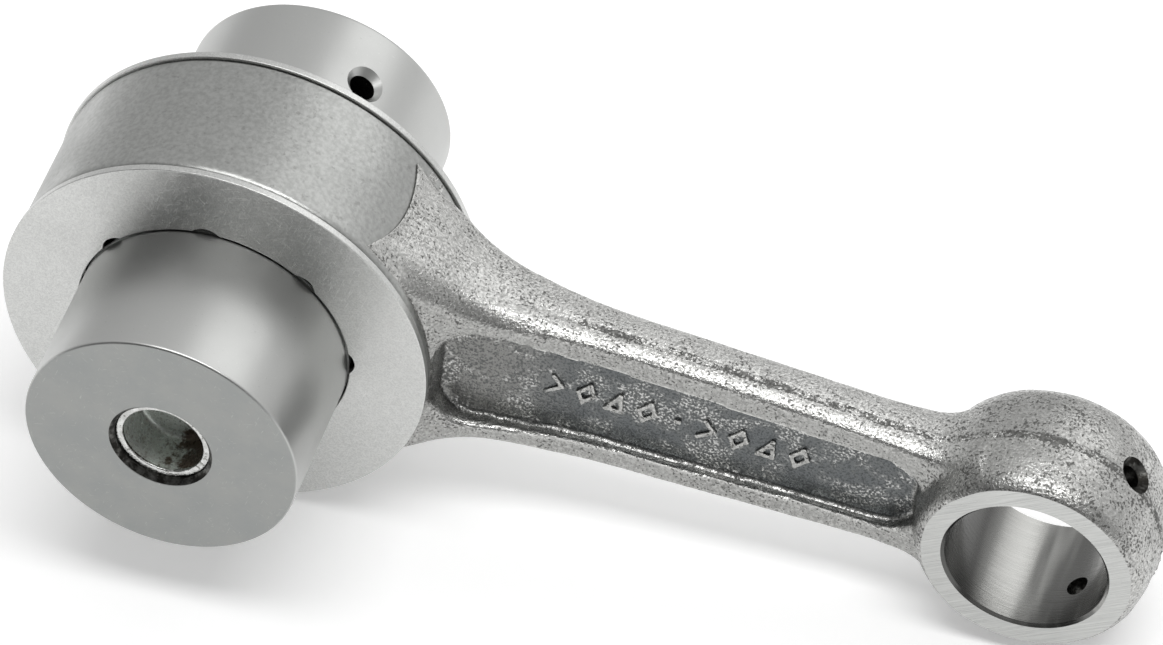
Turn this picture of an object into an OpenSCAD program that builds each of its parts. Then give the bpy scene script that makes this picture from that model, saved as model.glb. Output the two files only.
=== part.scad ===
// Connecting rod kit for a single cylinder engine: forged rod, crank pin,
// caged needle bearing and two thrust washers. The rod's centre line is X,
// the pin runs along Y and its front end points to -Y. The origin is the
// centre of the small end bore. Millimetres.

/* [Rod] */
// Distance from the big end centre to the small end centre
centre_distance = 107; // [100:0.5:125]
// Width across the big end's thrust faces
big_end_width = 20; // [20:0.5:26]
// Diameter of the machined drum around the big end
big_end_od = 56.1; // [54:0.1:62]
// Width of the small end
small_end_width = 18; // [16:0.5:20]
// Diameter of the small end bore
small_end_bore = 21; // [18:0.5:22]
// Diameter of the forged eye at mid width
eye_od = 32; // [31:0.5:36]
// Diameter of the ground face around the small end bore
eye_face_od = 27; // [25:0.5:28]
// Thickness of the web between the two flanges
web_thickness = 3.8; // [3:0.2:6]
// Diameter of the two oil holes in the eye
eye_oil_hole = 3; // [2:0.1:4]

/* [Crank pin] */
// Diameter of the pin
pin_d = 36; // [35:0.5:37]
// Reach of the pin in front of the rod's mid plane
pin_front = 31.4; // [28:0.1:36]
// Reach of the pin behind the rod's mid plane
pin_rear = 32.6; // [31:0.1:36]
// Diameter of the blind oil gallery along the pin
gallery_d = 12.6; // [8:0.1:14]
// Diameter of the cross hole that feeds the gallery
feed_hole = 3.6; // [2:0.1:5]
// Diameter of the feed hole's countersink
feed_sink = 5.5; // [5.2:0.1:7]

/* [Big end bearing] */
// Diameter of one roller
roller_d = 4; // [3.5:0.1:4.2]
// Length of one roller
roller_length = 16; // [10:0.5:16.5]
// Sum of the gaps inside and outside a roller
roller_play = 0.03; // [0.03:0.01:0.06]

/* [Thrust washers] */
// Outer diameter of a washer
washer_od = 56.8; // [54:0.1:60]
// Inner diameter of a washer
washer_id = 36.4; // [36.4:0.1:38]
// Thickness of a washer
washer_thickness = 1; // [0.8:0.1:2]
// Gap between a washer and the rod's thrust face
washer_gap = 0.12; // [0.1:0.01:0.3]

/* [Hidden] */
$fn = 96;

roller_count = 18;
big_end_bore = pin_d + 2 * roller_d + roller_play;
roller_circle = (pin_d + roller_d + roller_play / 2) / 2;
drum_front_chamfer = 1.25;
drum_rear_chamfer = 0.3;
bore_chamfer = 0.4;
eye_draft = 1.1;
eye_corner = 1.1;
washer_face = big_end_width / 2 + washer_gap;

// Half height of the shank's face and half its thickness, by distance from the big end
shank = [
    [17, 20.6, 8.7], [22, 18.4, 8.5], [26, 16.3, 7.9], [30, 13.9, 6.8], [36, 12.1, 5.5],
    [46, 11.1, 4.1], [60, 10.75, 3.9], [76, 10.2, 3.9], [88, 9.6, 4.2], [94, 9.6, 5.2],
    [98, 11.5, 6.4]
];
// The same stations run on a line that stretches with the centre distance
stretch = centre_distance / 107;
cut_reach = 40;

// Half height of the pocket between the flanges, by distance from the big end
pocket = [[33, 8.4], [40, 7.9], [48, 7.1], [60, 6.75], [72, 6.2], [84, 5.9], [86.5, 5.9]];
pocket_heel = [33.2, 3.4, 5];
pocket_toe = [86.5, 5.9];

eye_oil_angle = 50;
eye_oil_offsets = [-0.7, 2.3];
eye_oil_sink = 2.7;

pin_chamfer = 0.6;
// A shallow groove under each washer parts the roller track from the press-fit end
relief_depth = 0.25;
relief_start = big_end_width / 2 + 0.4;
relief_end = washer_face + washer_thickness + 0.08;
gallery_end = 6.6;
feed_angle = 64.6;
feed_offset = -23.3;

plug_depth = 1;
plug_length = 7;
plug_wall = 1;

cage_wall = 2.6;
cage_end_gap = 0.3;
window_play = 0.16;

notch_count = 8;
notch_angle = 7.3;
notch_d = 4.8;
notch_depth = 0.75;

// Shapes drawn around the pin's axis stand on Z and are turned here to run along Y
module along_pin() {
    rotate([90, 0, 0]) children();
}

module at_big_end() {
    translate([-centre_distance, 0, 0]) along_pin() children();
}

// Both halves of an outline given by its upper half
module mirrored_outline(half, column) {
    upper = [for (p = half) [(p[0] * stretch) - centre_distance, p[column]]];
    lower = [for (i = [len(upper) - 1 : -1 : 0]) [upper[i][0], -upper[i][1]]];
    polygon(concat(upper, lower));
}

module drum() {
    r = big_end_od / 2;
    h = big_end_width / 2;
    front = drum_front_chamfer;
    rear = drum_rear_chamfer;
    rotate_extrude()
        polygon([
            [0, -h], [r - rear, -h], [r, -h + rear], [r, h - front], [r - front, h], [0, h]
        ]);
}

module eye() {
    r = eye_od / 2;
    f = eye_face_od / 2;
    h = small_end_width / 2;
    e = r - eye_draft;
    rotate_extrude()
        polygon([
            [0, -h], [f, -h], [e, -h + eye_corner], [r, 0],
            [e, h - eye_corner], [f, h], [0, h]
        ]);
}

module shank_body() {
    intersection() {
        linear_extrude(height = cut_reach, center = true) mirrored_outline(shank, 1);
        along_pin()
            linear_extrude(height = 2 * cut_reach, center = true) mirrored_outline(shank, 2);
    }
}

module pocket_outline() {
    mirrored_outline(pocket, 1);
    for (side = [-1, 1])
        translate([pocket_heel[0] * stretch - centre_distance, side * pocket_heel[1]])
            circle(r = pocket_heel[2]);
    translate([pocket_toe[0] * stretch - centre_distance, 0]) circle(r = pocket_toe[1]);
}

module pockets() {
    for (side = [0, 1])
        mirror([0, 0, side])
            translate([0, 0, web_thickness / 2]) linear_extrude(height = 12) pocket_outline();
}

// A plain hole with a mouth that opens at 45 degrees at the eye's skin
module eye_oil_hole_tool() {
    r = eye_oil_hole / 2;
    skin = eye_od / 2;
    rotate([0, 90, 0]) {
        cylinder(r = r, h = skin + 2);
        translate([0, 0, skin - eye_oil_sink / 2])
            cylinder(r1 = r, r2 = r + eye_oil_sink, h = eye_oil_sink);
    }
}

module bore_tool(d, width) {
    r = d / 2;
    h = width / 2;
    c = bore_chamfer;
    rotate_extrude()
        polygon([
            [0, -h - 1], [r + c + 1, -h - 1], [r, -h + c], [r, h - c],
            [r + c + 1, h + 1], [0, h + 1]
        ]);
}

module connecting_rod() {
    color("#a3a6a3")
        along_pin()
            difference() {
                union() {
                    translate([-centre_distance, 0, 0]) drum();
                    eye();
                    difference() {
                        shank_body();
                        pockets();
                    }
                }
                translate([-centre_distance, 0, 0]) bore_tool(big_end_bore, big_end_width);
                bore_tool(small_end_bore, small_end_width);
                for (i = [0, 1])
                    translate([0, 0, eye_oil_offsets[i]])
                        rotate([0, 0, (1 - 2 * i) * eye_oil_angle])
                            eye_oil_hole_tool();
            }
}

module crank_pin() {
    r = pin_d / 2;
    c = pin_chamfer;
    g = gallery_d / 2;
    n = r - relief_depth;
    color("#9b9f9d")
        at_big_end()
            difference() {
                rotate_extrude()
                    polygon([
                        [0, -pin_rear], [r - c, -pin_rear], [r, -pin_rear + c],
                        [r, -relief_end], [n, -relief_end], [n, -relief_start], [r, -relief_start],
                        [r, relief_start], [n, relief_start], [n, relief_end], [r, relief_end],
                        [r, pin_front - c], [r - c, pin_front], [g + c, pin_front],
                        [g, pin_front - c], [g, -pin_rear + gallery_end],
                        [0, -pin_rear + gallery_end]
                    ]);
                rotate([0, 0, feed_angle]) {
                    translate([0, 0, feed_offset]) rotate([0, 90, 0]) {
                        cylinder(d = feed_hole, h = r + 1);
                        translate([0, 0, r - (feed_sink - feed_hole) / 2])
                            cylinder(d1 = feed_hole, d2 = feed_sink + 2, h = feed_sink / 2);
                    }
                    rotate([0, 90, 0]) cylinder(d = feed_hole, h = r + 1);
                }
            }
}

// Pressed cup that closes the gallery, its open side to the front
module oil_plug() {
    r = gallery_d / 2;
    w = plug_wall;
    color("#b9bcba")
        at_big_end()
            translate([0, 0, pin_front - plug_depth - plug_length])
                rotate_extrude()
                    polygon([
                        [0, 0], [r, 0], [r, plug_length], [r - w, plug_length],
                        [r - w, w], [0, w]
                    ]);
}

// One ring with a window for each roller
module roller_cage() {
    r = roller_circle;
    w = cage_wall / 2;
    h = big_end_width / 2 - cage_end_gap;
    color("#8d8f8c")
        at_big_end()
            difference() {
                rotate_extrude()
                    polygon([[r - w, -h], [r + w, -h], [r + w, h], [r - w, h]]);
                for (i = [0 : roller_count - 1])
                    rotate([0, 0, i * 360 / roller_count])
                        translate([r, 0, 0])
                            cube([
                                2 * cage_wall, roller_d + window_play,
                                roller_length + 2 * window_play
                            ], center = true);
            }
}

module roller(number) {
    color("#c4c6c5")
        at_big_end()
            rotate([0, 0, (number - 1) * 360 / roller_count])
                translate([roller_circle, 0, 0])
                    cylinder(d = roller_d, h = roller_length, center = true, $fn = 48);
}

// Side is 1 in front of the rod and -1 behind it
module thrust_washer(side) {
    lowest = side > 0 ? washer_face : -washer_face - washer_thickness;
    color("#b4b7b5")
        at_big_end()
            translate([0, 0, lowest])
                linear_extrude(height = washer_thickness)
                    difference() {
                        circle(d = washer_od);
                        circle(d = washer_id);
                        for (i = [0 : notch_count - 1])
                            rotate(notch_angle + i * 360 / notch_count)
                                translate([(washer_id - notch_d) / 2 + notch_depth, 0])
                                    circle(d = notch_d);
                    }
}

connecting_rod();
crank_pin();
oil_plug();
roller_cage();
thrust_washer(1);  // front_thrust_washer
thrust_washer(-1);  // rear_thrust_washer
roller(1);  // roller_01
roller(2);  // roller_02
roller(3);  // roller_03
roller(4);  // roller_04
roller(5);  // roller_05
roller(6);  // roller_06
roller(7);  // roller_07
roller(8);  // roller_08
roller(9);  // roller_09
roller(10);  // roller_10
roller(11);  // roller_11
roller(12);  // roller_12
roller(13);  // roller_13
roller(14);  // roller_14
roller(15);  // roller_15
roller(16);  // roller_16
roller(17);  // roller_17
roller(18);  // roller_18
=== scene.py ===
import math

import bmesh
import bpy
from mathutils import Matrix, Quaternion, Vector


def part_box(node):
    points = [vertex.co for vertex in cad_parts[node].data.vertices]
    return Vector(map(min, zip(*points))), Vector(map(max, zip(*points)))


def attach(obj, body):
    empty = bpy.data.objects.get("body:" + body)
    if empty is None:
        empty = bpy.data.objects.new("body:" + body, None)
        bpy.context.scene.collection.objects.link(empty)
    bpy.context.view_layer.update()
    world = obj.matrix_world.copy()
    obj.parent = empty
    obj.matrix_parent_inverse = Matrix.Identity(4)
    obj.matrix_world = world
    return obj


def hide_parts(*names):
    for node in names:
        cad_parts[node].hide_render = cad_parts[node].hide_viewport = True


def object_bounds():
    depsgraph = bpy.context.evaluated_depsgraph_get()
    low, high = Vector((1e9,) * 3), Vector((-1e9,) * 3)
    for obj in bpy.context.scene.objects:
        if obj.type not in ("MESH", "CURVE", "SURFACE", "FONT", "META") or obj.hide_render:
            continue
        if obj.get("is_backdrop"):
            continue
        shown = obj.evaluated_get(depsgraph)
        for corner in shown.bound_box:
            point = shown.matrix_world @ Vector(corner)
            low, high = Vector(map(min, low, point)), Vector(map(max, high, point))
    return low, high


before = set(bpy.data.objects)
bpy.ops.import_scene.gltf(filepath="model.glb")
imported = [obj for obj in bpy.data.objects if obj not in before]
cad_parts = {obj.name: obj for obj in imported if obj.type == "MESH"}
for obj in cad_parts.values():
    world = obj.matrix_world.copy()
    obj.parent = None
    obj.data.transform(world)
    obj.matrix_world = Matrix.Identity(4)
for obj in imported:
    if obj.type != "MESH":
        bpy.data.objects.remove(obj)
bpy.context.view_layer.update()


# ---------------------------------------------------------------- connecting rod
# The rod is a drop forging in alloy steel, shot-blasted and tumbled, so its skin is pitted
# and its edges are soft. The big end is then turned outside, both ends are ground on their
# faces, the bores are honed, and two oil holes are drilled through the eye.
MM = 0.001
washer_low, washer_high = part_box("front_thrust_washer")
rod_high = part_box("connecting_rod")[1]
big_end_x = (washer_low.x + washer_high.x) / 2 / MM
washer_radius = (washer_high.z - washer_low.z) / 2
centre_distance = -big_end_x
eye_radius = rod_high.x / MM
drum_half_width = rod_high.y / MM
drum_radius = rod_high.z / MM
big_bore_radius = 22.015
eye_half_width = 9.0
eye_bore_radius = 10.5

# Distance from the big end, half height and half thickness of the shank
SHANK = [
    (17, 20.9, 8.6), (22, 18.5, 8.45), (26, 16.3, 7.9), (30, 14.0, 6.8), (36, 12.1, 5.5),
    (46, 11.1, 4.2), (60, 10.7, 3.9), (76, 10.1, 3.9), (86, 9.6, 4.1), (90.7, 9.6, 4.6),
    (93.5, 10.1, 5.2), (96.1, 11.7, 6.2), (98, 13.2, 6.8),
]
# Distance from the big end and half height of the pocket at the flange's face
POCKET = [(33.2, 8.4), (40, 7.95), (48, 7.2), (60, 6.85), (72, 6.3), (84, 6.0), (86.5, 6.0)]
pocket_heel_radius = 5.0
pocket_draft = math.radians(7)
floor_fillet = 1.3
heel_rise = 1.1
heel_start, heel_end = 29, 46
web_half = 1.9
flash_place = -1.1
edge_break = 0.55
skin_voxel = 0.42


def along(stations, place, column):
    """One column of the stations on a smooth curve through them."""
    last = len(stations) - 1
    at = max(k for k in range(last) if k == 0 or stations[k][0] <= place)

    def slope(k):
        before, after = stations[max(k - 1, 0)], stations[min(k + 1, last)]
        return (after[column] - before[column]) / (after[0] - before[0])

    start, end = stations[at], stations[at + 1]
    span = end[0] - start[0]
    t = (place - start[0]) / span
    return (
        (1 + 2 * t) * (1 - t) ** 2 * start[column]
        + t * (1 - t) ** 2 * span * slope(at)
        + t * t * (3 - 2 * t) * end[column]
        + t * t * (t - 1) * span * slope(at + 1)
    )


def turned(profile, steps, centre_x=0.0, closed=False):
    """A solid turned about an axis along Y, from (radius, y) points."""
    bm = bmesh.new()
    points = [bm.verts.new((radius, y, 0)) for radius, y in profile]
    lines = [bm.edges.new(pair) for pair in zip(points, points[1:])]
    if closed:
        lines.append(bm.edges.new((points[-1], points[0])))
    bmesh.ops.spin(
        bm, geom=points + lines, cent=(0, 0, 0), axis=(0, 1, 0), angle=math.tau,
        steps=steps, use_merge=True,
    )
    bmesh.ops.remove_doubles(bm, verts=bm.verts, dist=1e-4)
    bmesh.ops.dissolve_degenerate(bm, edges=bm.edges, dist=1e-5)
    bmesh.ops.recalc_face_normals(bm, faces=bm.faces)
    bmesh.ops.translate(bm, verts=bm.verts, vec=(centre_x, 0, 0))
    return bm


def eased(outline, closed=False, steps=6, guard=0.12):
    """A (radius, y, fillet) outline with its corners rounded between two guard points each."""
    points = []
    for k, (radius, y, fillet) in enumerate(outline):
        if fillet == 0 or (not closed and k in (0, len(outline) - 1)):
            points.append((radius, y))
            continue
        corner = Vector((radius, y))
        into = (corner - Vector(outline[k - 1][:2])).normalized()
        out = (Vector(outline[(k + 1) % len(outline)][:2]) - corner).normalized()
        start, end = corner - into * fillet, corner + out * fillet
        points.append(tuple(start - into * guard))
        for step in range(steps + 1):
            t = step / steps
            points.append(tuple(start.lerp(corner, t).lerp(corner.lerp(end, t), t)))
        points.append(tuple(end + out * guard))
    return points


def drill(radius, mouth, depth, length, segments=48):
    """A drill's shape along +Z with a 45 degree countersink from depth outwards."""
    bm = bmesh.new()
    bmesh.ops.create_cone(
        bm, cap_ends=True, segments=segments, radius1=radius, radius2=radius, depth=length,
    )
    bmesh.ops.translate(bm, verts=bm.verts, vec=(0, 0, length / 2))
    top = max(bm.faces, key=lambda face: face.calc_center_median().z)
    bmesh.ops.translate(bm, verts=top.verts, vec=(0, 0, depth - length))
    grown = bmesh.ops.extrude_discrete_faces(bm, faces=[top])["faces"][0]
    rise = mouth - radius
    for vert in grown.verts:
        vert.co.x *= mouth / radius
        vert.co.y *= mouth / radius
        vert.co.z += rise
    return bm


def as_object(name, bm):
    """The bmesh as an object in the scene, still in millimetres."""
    mesh = bpy.data.meshes.new(name)
    bm.to_mesh(mesh)
    bm.free()
    thing = bpy.data.objects.new(name, mesh)
    bpy.context.scene.collection.objects.link(thing)
    return thing


def set_in_mesh(thing):
    """Fixes what the modifiers do in the object's own mesh."""
    graph = bpy.context.evaluated_depsgraph_get()
    old, thing.data = thing.data, bpy.data.meshes.new_from_object(thing.evaluated_get(graph))
    thing.modifiers.clear()
    bpy.data.meshes.remove(old)


def machine(thing, tool, operation="DIFFERENCE"):
    """Cuts or joins one object with another, which is used up."""
    step = thing.modifiers.new("tool", "BOOLEAN")
    step.object = tool
    step.operation = operation
    step.solver = "MANIFOLD"
    set_in_mesh(thing)
    bpy.data.objects.remove(tool)


def weigh(thing, label, share):
    """A vertex group whose weight is share(x, y, z), with x from the big end."""
    group = thing.vertex_groups.new(name=label)
    for vert in thing.data.vertices:
        x, y, z = vert.co
        weight = share(x - big_end_x, y, z)
        if weight > 0.01:
            group.add([vert.index], min(weight, 1.0), "REPLACE")


def ramp(value, low, high):
    """0 below low and 1 above high, smooth between them."""
    t = min(max((value - low) / (high - low), 0.0), 1.0)
    return t * t * (3 - 2 * t)


def shank_section(place):
    """The shank's outline: two rolled edges with the trimmed flash in a groove between them."""
    height = along(SHANK, place, 1)
    thick = along(SHANK, place, 2)
    x = place + big_end_x
    rolls = ramp(place, 30, 46)
    slope = 1.8 * (1 - rolls) * ramp(place, 18, 24)
    crown = [
        (-thick, -0.5 - slope), (-0.65 * thick, 0.12 * rolls), (flash_place - 0.75, 0.3 * rolls),
        (flash_place, -0.2 * rolls), (flash_place + 0.75, 0.3 * rolls), (1.6, 0.1 * rolls),
        (thick, -0.7),
    ]
    low = [(x, y, -height - rise) for y, rise in crown]
    return low + [(x, y, -z) for x, y, z in reversed(low)]


def shank_blank():
    """The shank as one bar, drawn out section by section, with its corners broken."""
    bm = bmesh.new()
    face = bm.faces.new([bm.verts.new(point) for point in shank_section(SHANK[0][0])])
    start = bmesh.ops.duplicate(bm, geom=[face])["geom"]
    start = [part for part in start if isinstance(part, bmesh.types.BMFace)]
    bmesh.ops.reverse_faces(bm, faces=start)
    place = SHANK[0][0]
    while place < SHANK[-1][0]:
        place = min(place + 1.0, SHANK[-1][0])
        face = bmesh.ops.extrude_discrete_faces(bm, faces=[face])["faces"][0]
        for vert, point in zip(face.verts, shank_section(place)):
            vert.co = point
    bmesh.ops.remove_doubles(bm, verts=bm.verts, dist=1e-4)
    bmesh.ops.recalc_face_normals(bm, faces=bm.faces)
    corners = [
        edge for edge in bm.edges
        if all(abs(vert.co.y) > 3.5 for vert in edge.verts)
        and abs((edge.verts[0].co - edge.verts[1].co).x) > 0.1
    ]
    bmesh.ops.bevel(
        bm, geom=corners, offset=edge_break, offset_type="OFFSET", segments=3, profile=0.5,
        affect="EDGES", material=-1,
    )
    return bm


def pocket_tool(side):
    """The die's boss for one pocket: drafted walls down to a filleted floor."""
    outline = []
    heel_x, heel_z = POCKET[0][0], POCKET[0][1] - pocket_heel_radius
    toe_x, toe_z = POCKET[-1]
    for step in range(13):
        turn = math.radians(180 - 7.5 * step)
        outline.append((
            heel_x + pocket_heel_radius * math.cos(turn),
            heel_z + pocket_heel_radius * math.sin(turn),
        ))
    steps = 20
    for step in range(1, steps):
        place = heel_x + (toe_x - heel_x) * step / steps
        outline.append((place, along(POCKET, place, 1)))
    for step in range(13):
        turn = math.radians(90 - 7.5 * step)
        outline.append((toe_x + toe_z * math.cos(turn), toe_z * math.sin(turn)))
    outline += [(x, -z) for x, z in reversed(outline[:-1])]
    reach = 14.0
    bm = bmesh.new()
    mouth = bm.faces.new([bm.verts.new((x + big_end_x, -reach, z)) for x, z in outline])
    lid = bmesh.ops.duplicate(bm, geom=[mouth])["geom"]
    lid = [part for part in lid if isinstance(part, bmesh.types.BMFace)]
    bmesh.ops.reverse_faces(bm, faces=lid)
    mouth_depth = 4.0
    floor = bmesh.ops.extrude_discrete_faces(bm, faces=[mouth])["faces"][0]
    for vert in floor.verts:
        vert.co.y = -mouth_depth
    bmesh.ops.remove_doubles(bm, verts=bm.verts, dist=1e-4)
    bmesh.ops.recalc_face_normals(bm, faces=bm.faces)
    drop = mouth_depth - web_half
    bmesh.ops.inset_region(
        bm, faces=[floor], thickness=drop * math.tan(pocket_draft), depth=0, use_even_offset=True,
    )
    for vert in floor.verts:
        vert.co.y = -web_half
    bmesh.ops.bevel(
        bm, geom=list(floor.edges), offset=floor_fillet, offset_type="OFFSET", segments=5, profile=0.5,
        affect="EDGES", material=-1,
    )
    for place in range(28, 48, 2):
        bmesh.ops.bisect_plane(
            bm, geom=bm.verts[:] + bm.edges[:] + bm.faces[:], dist=1e-4,
            plane_co=(place + big_end_x, 0, 0), plane_no=(1, 0, 0),
        )
    for vert in bm.verts:
        share = min(max((mouth_depth + vert.co.y) / drop, 0.0), 1.0)
        vert.co.y -= share * heel_rise * (1 - ramp(vert.co.x - big_end_x, heel_start, heel_end))
    if side > 0:
        bmesh.ops.scale(bm, vec=(1, -1, 1), verts=bm.verts)
    bmesh.ops.recalc_face_normals(bm, faces=bm.faces)
    return bm


def eye_profile():
    """The forged eye: a crowned barrel with soft shoulders, left proud for grinding."""
    face, shoulder = 13.6, eye_radius - 1.25
    return [
        (0, -eye_half_width - 0.4), (face - 0.5, -eye_half_width - 0.4),
        (face + 0.3, -eye_half_width + 0.15), (shoulder, -eye_half_width + 1.5),
        (eye_radius - 0.55, -4.5), (eye_radius - 0.22, -1.2),
        (eye_radius - 0.22, 1.2), (eye_radius - 0.55, 4.5),
        (shoulder, eye_half_width - 1.5), (face + 0.3, eye_half_width - 0.15),
        (face - 0.5, eye_half_width + 0.4), (0, eye_half_width + 0.4),
    ]


forged_radius = drum_radius + 0.18
forged_half_width = 8.55
rod = as_object("connecting_rod_forging", shank_blank())
for side in (-1, 1):
    machine(rod, as_object("pocket_boss", pocket_tool(side)))
raw = bmesh.new()
raw.from_mesh(rod.data)
for part in (
    turned(eye_profile(), 96),
    turned([(0, -forged_half_width), (forged_radius, -forged_half_width),
            (forged_radius, forged_half_width), (0, forged_half_width)], 128, big_end_x),
):
    spare = bpy.data.meshes.new("part")
    part.to_mesh(spare)
    part.free()
    raw.from_mesh(spare)
    bpy.data.meshes.remove(spare)
raw.to_mesh(rod.data)
raw.free()

skin = rod.modifiers.new("skin", "REMESH")
skin.mode = "VOXEL"
skin.voxel_size = skin_voxel
set_in_mesh(rod)


def junction(x, y, z):
    """Where the forging flows from the shank into the big end and into the eye."""
    big = ramp(x, 19, 25) * (1 - ramp(x, 31, 40))
    eye = ramp(x, 88, 92) * (1 - ramp(x, 97, 101))
    in_pocket = abs(y) < 5 and abs(z) < 8 and 34 < x < 90
    return 0.0 if in_pocket else max(big, eye)


def flash_line(x, y, z):
    """The trimmed flash: a ragged line round the forging near its mid plane."""
    on_edge = abs(z) > along(SHANK, min(max(x, 17), 98), 1) - 1.2 or x > 92
    line = 1 - ramp(abs(y - flash_place), 0.25, 0.9)
    return line * ramp(x, 36, 52) if on_edge and x > 30 else 0.0


weigh(rod, "junction", junction)
weigh(rod, "flash_line", flash_line)
for label, turns, group in (("flow", 30, "junction"), ("tumbled", 3, "")):
    smooth = rod.modifiers.new(label, "SMOOTH")
    smooth.factor = 0.5
    smooth.iterations = turns
    smooth.vertex_group = group

swell = bpy.data.textures.new("forging_swell", "CLOUDS")
swell.noise_scale = 5.0
ragged = bpy.data.textures.new("trimmed_flash", "CLOUDS")
ragged.noise_scale = 0.55
for texture, depth, level, group in ((swell, 0.12, 0.5, ""), (ragged, 0.55, 0.35, "flash_line")):
    wave = rod.modifiers.new(texture.name, "DISPLACE")
    wave.texture = texture
    wave.texture_coords = "LOCAL"
    wave.direction = "NORMAL"
    wave.strength = depth
    wave.mid_level = level
    wave.vertex_group = group
set_in_mesh(rod)

# The lathe cleans the drum as far as the neck, where its cut runs out in a curve
cut_radius, past_forging, tool_half = drum_radius - 0.5, drum_radius + 6, 12
ring = turned([
    (cut_radius, -tool_half), (past_forging, -tool_half), (past_forging, tool_half),
    (cut_radius, tool_half),
], 160, big_end_x, closed=True)
lathe = as_object("lathe_cut", ring)


def neck_line(y):
    """How far from the big end the turned drum reaches, across its width."""
    return 20.3 - 0.024 * (y - 1.5) ** 2


neck_mark = bmesh.new()
mark_end, mark_low = big_end_x + 60, -40.0
curve = [(neck_line(y) + big_end_x, y, mark_low) for y in range(-tool_half, tool_half + 1)]
curve += [(mark_end, tool_half, mark_low), (mark_end, -tool_half, mark_low)]
base = neck_mark.faces.new([neck_mark.verts.new(point) for point in curve])
sides = bmesh.ops.extrude_face_region(neck_mark, geom=[base])["geom"]
bmesh.ops.translate(
    neck_mark, vec=(0, 0, -2 * mark_low),
    verts=[part for part in sides if isinstance(part, bmesh.types.BMVert)],
)
bmesh.ops.recalc_face_normals(neck_mark, faces=neck_mark.faces)
machine(lathe, as_object("neck_mark", neck_mark))
machine(rod, lathe)

front_round, rear_round = 1.3, 0.3
drum = turned(eased([
    (big_bore_radius - 1, -drum_half_width, 0), (drum_radius, -drum_half_width, front_round),
    *[(drum_radius, y, 0) for y in range(-7, 9, 2)],
    (drum_radius, drum_half_width, rear_round), (big_bore_radius - 1, drum_half_width, 0),
], steps=8), 240, big_end_x, closed=True)
machine(rod, as_object("drum", drum), "UNION")


def bore_cutter(radius, half_width, centre_x):
    """A reamer's shape with the small chamfers that break the bore's edges."""
    lead = 0.4
    return turned([
        (0, -half_width - 2), (radius + lead + 2, -half_width - 2), (radius, -half_width + lead),
        (radius, half_width - lead), (radius + lead + 2, half_width + 2), (0, half_width + 2),
    ], 192, centre_x)


machine(rod, as_object("big_bore", bore_cutter(big_bore_radius, drum_half_width, big_end_x)))
machine(rod, as_object("eye_bore", bore_cutter(eye_bore_radius, eye_half_width, 0.0)))
for side in (-1, 1):
    grinder = bmesh.new()
    bmesh.ops.create_cube(grinder, size=1)
    bmesh.ops.scale(grinder, vec=(60, 8, 60), verts=grinder.verts)
    bmesh.ops.translate(grinder, vec=(10, side * (eye_half_width + 4), 0), verts=grinder.verts)
    machine(rod, as_object("eye_grinder", grinder))

oil_hole_radius = 1.5
EYE_HOLES = [(50, 0.7), (-50, -2.3)]
for turn, place in EYE_HOLES:
    hole = drill(oil_hole_radius, oil_hole_radius + 2.0, eye_radius - 1.35, eye_radius)
    bmesh.ops.rotate(
        hole, verts=hole.verts, cent=(0, 0, 0),
        matrix=Quaternion((0, 1, 0), math.radians(90 - turn)).to_matrix(),
    )
    bmesh.ops.translate(hole, verts=hole.verts, vec=(0, place, 0))
    machine(rod, as_object("oil_hole", hole))

# A row of plain raised marks in the front pocket: chevrons, diamonds, darts and a dot
mark_height, mark_stroke, mark_rise = 3.4, 0.6, 0.45
mark_start, mark_pitch, mark_slant = -63.8, 4.05, 0.25
DIAMOND = [(0, 1), (0.62, 0), (0, -1), (-0.62, 0), (0, 1)]
CHEVRON = [(-0.5, 0.9), (0.45, 0), (-0.5, -0.9)]
DART = [(-0.6, -0.8), (0, 0.85), (0.6, -0.8), (-0.6, -0.8)]
DOT = [(-0.12, 0), (0.12, 0)]
MARKS = [CHEVRON, DIAMOND, DART, DIAMOND, DOT, CHEVRON, DIAMOND, DART, DIAMOND]


def raised_mark(points, centre):
    """One mark as a bead that follows its line, standing on the web."""
    bead = bmesh.new()
    half = mark_height / 2
    for (x0, z0), (x1, z1) in zip(points, points[1:]):
        start = Vector(((x0 + z0 * mark_slant) * half + centre, z0 * half))
        end = Vector(((x1 + z1 * mark_slant) * half + centre, z1 * half))
        run = end - start
        made = bmesh.ops.create_cube(bead, size=1)["verts"]
        bmesh.ops.scale(
            bead, verts=made, vec=(run.length + mark_stroke, 2 * mark_rise, mark_stroke),
        )
        turn = Quaternion((0, 1, 0), -math.atan2(run.y, run.x)).to_matrix()
        bmesh.ops.rotate(bead, verts=made, cent=(0, 0, 0), matrix=turn)
        middle = (start + end) / 2
        bmesh.ops.translate(bead, verts=made, vec=(middle.x, -web_half, middle.y - 0.3))
    return bead


marks = bmesh.new()
for number, points in enumerate(MARKS):
    spare = bpy.data.meshes.new("mark")
    bead = raised_mark(points, mark_start + number * mark_pitch)
    bead.to_mesh(spare)
    bead.free()
    marks.from_mesh(spare)
    bpy.data.meshes.remove(spare)
marks = as_object("marks", marks)
melt = marks.modifiers.new("melt", "REMESH")
melt.mode = "VOXEL"
melt.voxel_size = 0.14
soften = marks.modifiers.new("soften", "SMOOTH")
soften.factor = 0.5
soften.iterations = 3
set_in_mesh(marks)
machine(rod, marks, "UNION")


def position(tree):
    """The object's own coordinates, in millimetres."""
    coords = tree.nodes.new("ShaderNodeTexCoord")
    scale = tree.nodes.new("ShaderNodeVectorMath")
    scale.operation = "SCALE"
    scale.inputs["Scale"].default_value = 1 / MM
    tree.links.new(coords.outputs["Object"], scale.inputs[0])
    return scale.outputs[0]


def put(tree, value, socket):
    """Links a socket, or sets a plain value."""
    if isinstance(value, bpy.types.NodeSocket):
        tree.links.new(value, socket)
    else:
        socket.default_value = value


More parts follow.
